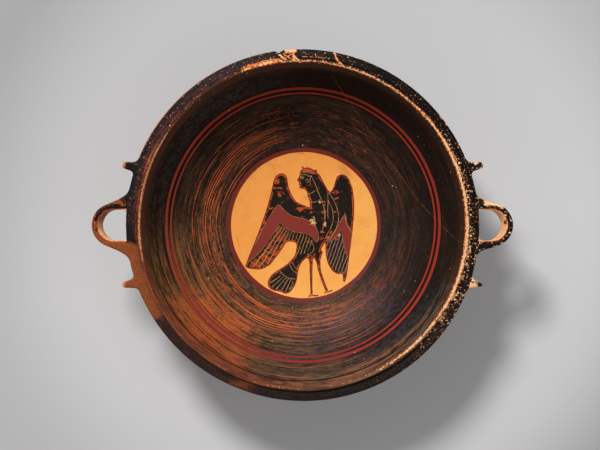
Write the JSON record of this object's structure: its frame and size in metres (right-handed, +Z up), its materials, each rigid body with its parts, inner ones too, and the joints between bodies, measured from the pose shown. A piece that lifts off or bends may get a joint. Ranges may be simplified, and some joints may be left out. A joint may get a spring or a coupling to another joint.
{
  "type": "lekane",
  "caption": "Broad shallow fired-clay bowl with black slip, an inset thin lip on a flat rim, a low ring foot, two horizontal strap handles and a short spur beside each handle root.",
  "frame": {"origin": "middle of the ring foot's resting plane, on the wheel's axis", "axes": "+Z up along the wheel's axis, the two handles along +X and -X, the picture upright towards +Y"},
  "size_m": [0.3936, 0.33, 0.098],
  "materials": {
    "black_slip_clay": "satin black slip over orange-buff fired clay, thin and brown in places, worn to bare clay on the lip, pitted on the rim and handles"
  },
  "bodies": {
    "root": {"lekane": "black_slip_clay"}
  },
  "joints": []
}
